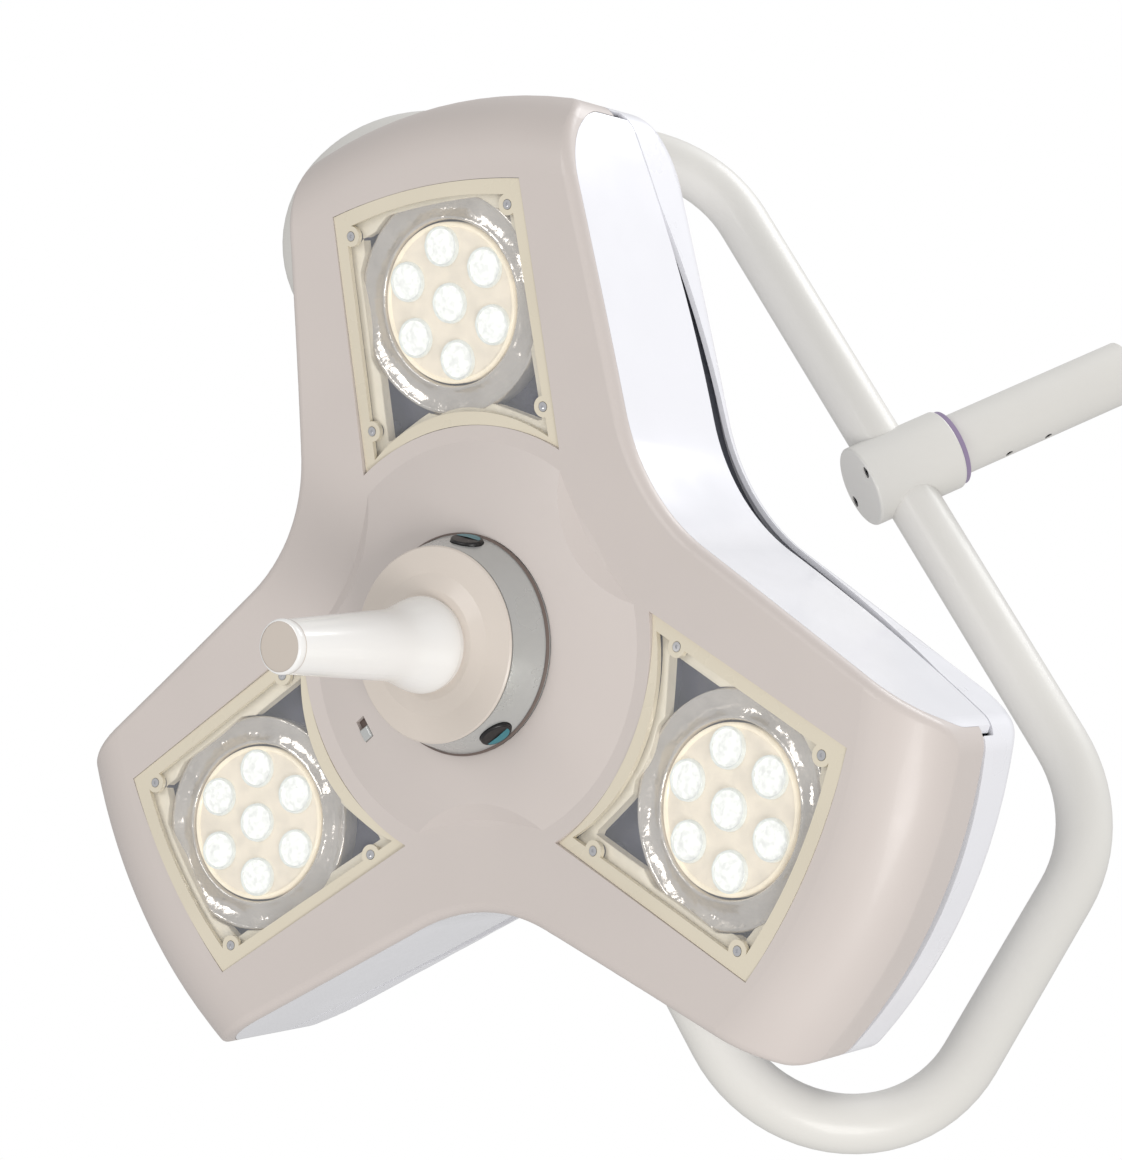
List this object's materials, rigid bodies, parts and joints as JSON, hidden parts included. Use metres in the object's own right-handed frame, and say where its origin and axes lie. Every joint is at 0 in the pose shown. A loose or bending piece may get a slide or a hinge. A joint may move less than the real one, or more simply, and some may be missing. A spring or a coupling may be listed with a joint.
{
  "type": "dental operating light",
  "caption": "Three-lobed LED operating light head with a hub handle, held in a bent-tube yoke that swivels on a tubular arm stub.",
  "frame": {"origin": "centre of the arm tube's open end", "axes": "+X out of the arm's bore, away from the head; Z parallel to the head's tilt axis; Y = Z x X, so the head faces -X -Y"},
  "size_m": [0.6712, 0.441, 0.7128],
  "materials": {
    "powder_coat": "satin",
    "steel": "machined",
    "bronze": "machined",
    "seam_ring": "satin",
    "dark_steel": "black oxide",
    "cable": "matte",
    "cover": "satin",
    "shell_white": "gloss",
    "frame_metal": "cast",
    "panel_white": "gloss",
    "dark_plastic": "matte",
    "chrome": "polished",
    "board": "solder mask",
    "silver": "metallic",
    "button_rubber": "matte",
    "handle_white": "gloss",
    "tip_beige": "satin",
    "knob_cream": "satin",
    "frame_cream": "translucent",
    "lens_clear": "clear",
    "tray_dark": "gloss",
    "optic_clear": "clear",
    "board_white": "solder mask"
  },
  "bodies": {
    "arm": {"arm_tube": "powder_coat", "spindle_housing": "steel", "swivel_bushes": "bronze", "swivel_washer": "seam_ring", "arm_set_screws": "dark_steel"},
    "yoke": {"swivel_block": "powder_coat", "swivel_cap": "powder_coat", "cap_screws": "dark_steel", "swivel_spindle": "steel", "spindle_nut": "steel", "yoke_tube": "powder_coat", "yoke_cable": "cable", "yoke_plugs": "steel", "pivot_pins": "steel", "pivot_nuts": "steel"},
    "head": {"front_cover": "cover", "rear_cover": "shell_white", "chassis": "frame_metal", "rear_cover_screws": "steel", "side_panel_1": "panel_white", "side_panel_2": "panel_white", "side_panel_3": "panel_white", "pivot_bracket_lower": "frame_metal", "pivot_bracket_upper": "frame_metal", "pivot_bushes": "bronze", "friction_discs": "dark_plastic", "window_screws": "chrome", "switch_units": "board", "switch_ring": "silver", "hub_frame": "dark_plastic", "control_board": "board", "handle_post": "steel", "driver_board": "board", "window_frame_1": "frame_cream", "window_lens_1": "lens_clear", "pod_tray_1": "tray_dark", "reflector_1": "chrome", "led_optic_1": "optic_clear", "led_board_1": "board_white", "heat_sink_1": "frame_metal", "window_frame_2": "frame_cream", "window_lens_2": "lens_clear", "pod_tray_2": "tray_dark", "reflector_2": "chrome", "led_optic_2": "optic_clear", "led_board_2": "board_white", "heat_sink_2": "frame_metal", "window_frame_3": "frame_cream", "window_lens_3": "lens_clear", "pod_tray_3": "tray_dark", "reflector_3": "chrome", "led_optic_3": "optic_clear", "led_board_3": "board_white", "heat_sink_3": "frame_metal"},
    "button_1": {"button_1": "button_rubber"},
    "button_2": {"button_2": "button_rubber"},
    "release_tab": {"release_tab": "silver"},
    "handle": {"handle": "handle_white", "handle_tip": "tip_beige", "knob": "knob_cream"}
  },
  "joints": [
    {"name": "yoke_swivel", "type": "hinge", "parent": "arm", "child": "yoke", "pos_m": [-0.1283, 0, 0], "axis": [1, 0, 0], "range_deg": [-170, 170]},
    {"name": "head_tilt", "type": "hinge", "parent": "yoke", "child": "head", "pos_m": [-0.425, 0, 0], "axis": [0, 0, -1], "range_deg": [-20, 100]},
    {"name": "handle_pull", "type": "slide", "parent": "head", "child": "handle", "axis": [-0.7071, -0.7071, 0], "range_m": [0, 0.05]},
    {"name": "button_1_press", "type": "slide", "parent": "head", "child": "button_1", "axis": [0.2024, 0.2024, 0.9582], "range_m": [0, 0.001], "stiffness_N_per_m": 800, "springref_m": -0.001},
    {"name": "button_2_press", "type": "slide", "parent": "head", "child": "button_2", "axis": [-0.285, 0.6898, -0.6656], "range_m": [0, 0.001], "stiffness_N_per_m": 800, "springref_m": -0.001},
    {"name": "release_slide", "type": "slide", "parent": "head", "child": "release_tab", "axis": [0, 0, 1], "range_m": [0, 0.006]}
  ]
}
